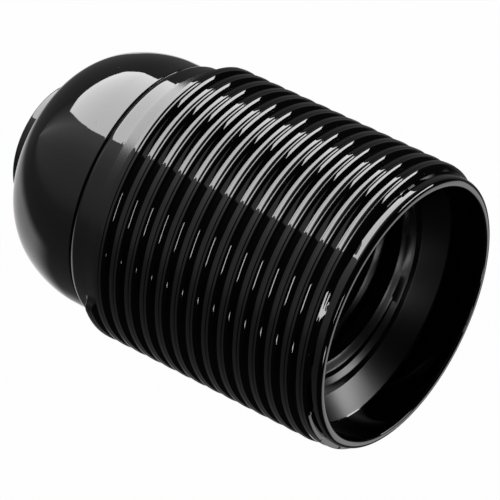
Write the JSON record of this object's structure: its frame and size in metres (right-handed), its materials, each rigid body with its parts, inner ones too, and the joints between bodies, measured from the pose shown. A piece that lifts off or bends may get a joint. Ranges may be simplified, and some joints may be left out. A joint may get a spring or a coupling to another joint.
{
  "type": "lamp holder",
  "caption": "Screw-in lamp holder with a domed cap, a fully threaded barrel for shade rings and a porcelain terminal insert inside.",
  "frame": {"origin": "centre of the cap's flat entry face, on the axis", "axes": "+Z along the axis from the entry face to the lamp mouth; X through the two terminals, the shell terminal on +X"},
  "size_m": [0.04, 0.04, 0.059],
  "materials": {
    "black_moulding": "polished moulded black",
    "porcelain": "glazed off-white",
    "spring_bronze": "rolled strip",
    "contact_brass": "polished",
    "terminal_brass": "machined",
    "zinc_steel": "bright zinc plated"
  },
  "bodies": {
    "cap_body": {"cap": "black_moulding", "nipple_lock_screw": "zinc_steel"},
    "insert_body": {"insert": "porcelain", "centre_contact": "spring_bronze", "shell_contact": "spring_bronze", "centre_terminal": "terminal_brass", "shell_terminal": "terminal_brass", "centre_clamp_plate": "zinc_steel", "shell_clamp_plate": "zinc_steel", "centre_terminal_screw": "zinc_steel", "shell_terminal_screw": "zinc_steel", "centre_contact_screw": "zinc_steel", "shell_contact_screw": "zinc_steel"},
    "barrel_body": {"barrel": "black_moulding"},
    "button_body": {"contact_button": "contact_brass"}
  },
  "joints": [
    {"name": "barrel_lift", "type": "slide", "parent": "cap_body", "child": "insert_body", "axis": [0, 0, 1], "range_m": [0, 0.005]},
    {"name": "barrel_turn", "type": "hinge", "parent": "insert_body", "child": "barrel_body", "pos_m": [0, 0, 0.03], "axis": [0, 0, 1], "range_deg": [0, 900]},
    {"name": "centre_contact_press", "type": "slide", "parent": "insert_body", "child": "button_body", "axis": [0, 0, -1], "range_m": [0, 0.0012], "stiffness_N_per_m": 2000, "deforming": ["centre_contact"]}
  ],
  "couplings": [
    {"joint": "barrel_lift", "follows": "barrel_turn", "m_per_rad": 0.00031831}
  ]
}
